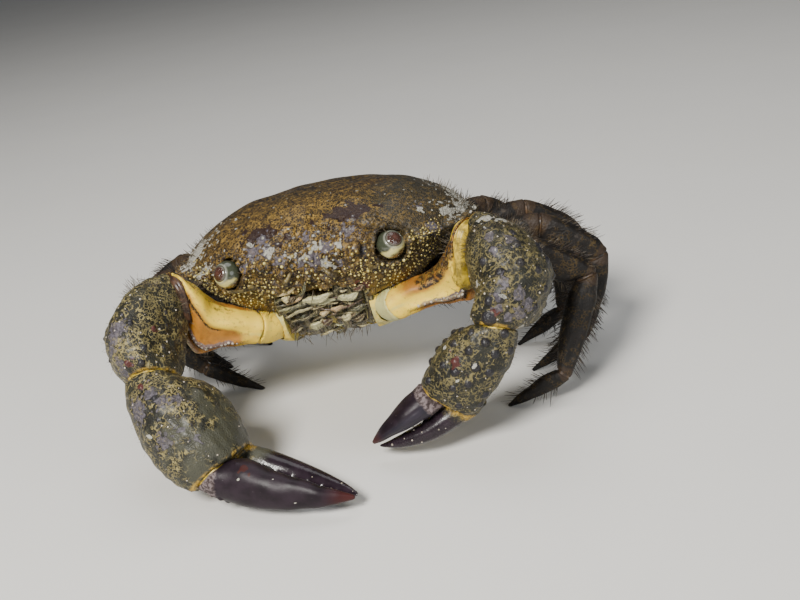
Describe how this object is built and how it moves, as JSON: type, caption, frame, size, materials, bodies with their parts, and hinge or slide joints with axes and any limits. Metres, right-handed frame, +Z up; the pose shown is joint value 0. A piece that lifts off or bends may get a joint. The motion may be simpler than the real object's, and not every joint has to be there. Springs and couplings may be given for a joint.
{
  "type": "warty crab model",
  "caption": "Life-size model of a warty crab standing with a broad domed shell, spiny edge, unequal heavy claws folded in front and tucked walking legs.",
  "frame": {"origin": "centre of the object's bounding box in plan, on the floor it stands on", "axes": "+X toward the crab's left side, -Y the way it faces, +Z up"},
  "size_m": [0.1388, 0.1148, 0.0603],
  "materials": {
    "shell": "satin, warty",
    "belly": "smooth satin",
    "arm_inside": "smooth satin",
    "mouthparts": "satin, grooved",
    "eyestalk": "glossy",
    "cornea": "glossy",
    "feeler": "satin",
    "claw": "polished",
    "leg": "satin, bristly",
    "leg_tip": "satin"
  },
  "bodies": {
    "root": {"abdomen": "belly", "antenna_left": "feeler", "antenna_right": "feeler", "antennule_left": "feeler", "antennule_right": "feeler", "carapace": "shell", "claw_left_base": "belly", "claw_left_carpus": "shell", "claw_left_finger": "claw", "claw_left_merus": "arm_inside", "claw_left_palm": "shell", "claw_right_base": "belly", "claw_right_carpus": "shell", "claw_right_finger": "claw", "claw_right_merus": "arm_inside", "claw_right_palm": "shell", "eye_left": "cornea", "eye_right": "cornea", "eyestalk_left": "eyestalk", "eyestalk_right": "eyestalk", "leg_left_1_carpus": "leg", "leg_left_1_dactylus": "leg_tip", "leg_left_1_merus": "leg", "leg_left_1_propodus": "leg", "leg_left_2_carpus": "leg", "leg_left_2_dactylus": "leg_tip", "leg_left_2_merus": "leg", "leg_left_2_propodus": "leg", "leg_left_3_carpus": "leg", "leg_left_3_dactylus": "leg_tip", "leg_left_3_merus": "leg", "leg_left_3_propodus": "leg", "leg_left_4_carpus": "leg", "leg_left_4_dactylus": "leg_tip", "leg_left_4_merus": "leg", "leg_left_4_propodus": "leg", "leg_right_1_carpus": "leg", "leg_right_1_dactylus": "leg_tip", "leg_right_1_merus": "leg", "leg_right_1_propodus": "leg", "leg_right_2_carpus": "leg", "leg_right_2_dactylus": "leg_tip", "leg_right_2_merus": "leg", "leg_right_2_propodus": "leg", "leg_right_3_carpus": "leg", "leg_right_3_dactylus": "leg_tip", "leg_right_3_merus": "leg", "leg_right_3_propodus": "leg", "leg_right_4_carpus": "leg", "leg_right_4_dactylus": "leg_tip", "leg_right_4_merus": "leg", "leg_right_4_propodus": "leg", "mouth_plate_left": "mouthparts", "mouth_plate_right": "mouthparts", "sternum": "belly"}
  },
  "joints": []
}
